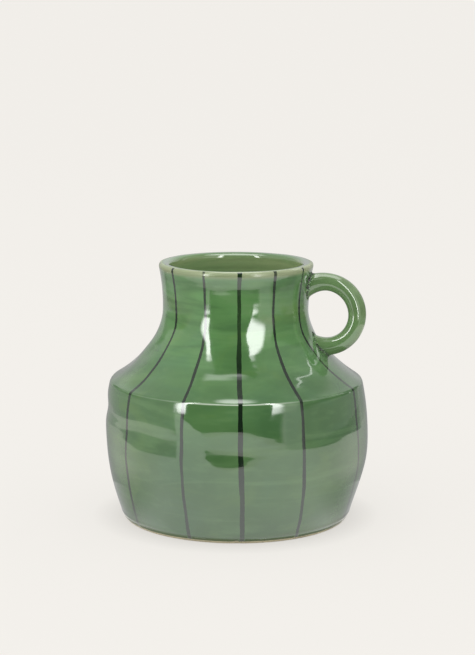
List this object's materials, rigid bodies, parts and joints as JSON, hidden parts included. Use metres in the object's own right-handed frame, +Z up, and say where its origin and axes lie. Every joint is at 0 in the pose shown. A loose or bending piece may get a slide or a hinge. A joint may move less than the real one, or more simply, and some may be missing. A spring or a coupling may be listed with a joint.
{
  "type": "one-handled jar",
  "caption": "Wide green-glazed stoneware jar with a shoulder ridge, short waisted neck, rolled lip, ring handle and dark painted stripes, for holding water or flowers.",
  "frame": {"origin": "on the jar's axis, at the level of the foot ring's flat underside", "axes": "+Z up along the jar's axis, +X towards the ring handle"},
  "size_m": [0.2028, 0.2028, 0.2],
  "materials": {
    "bare_stoneware": "unglazed, matt",
    "green_glaze": "glossy transparent green glaze over pale stoneware",
    "stripe_pigment": "dark brush strokes under the glossy glaze"
  },
  "bodies": {
    "root": {"foot_ring": "bare_stoneware", "floor_disc": "green_glaze", "belly_wall": "green_glaze", "shoulder_wall": "green_glaze", "neck_collar": "green_glaze", "rim_lip": "green_glaze", "handle_loop": "green_glaze", "handle_upper_lute": "green_glaze", "handle_lower_lute": "green_glaze", "stripe_01": "stripe_pigment", "stripe_02": "stripe_pigment", "stripe_03": "stripe_pigment", "stripe_04": "stripe_pigment", "stripe_05": "stripe_pigment", "stripe_06": "stripe_pigment", "stripe_07": "stripe_pigment", "stripe_08": "stripe_pigment", "stripe_09": "stripe_pigment", "stripe_10": "stripe_pigment", "stripe_11": "stripe_pigment", "stripe_12": "stripe_pigment"}
  },
  "joints": []
}
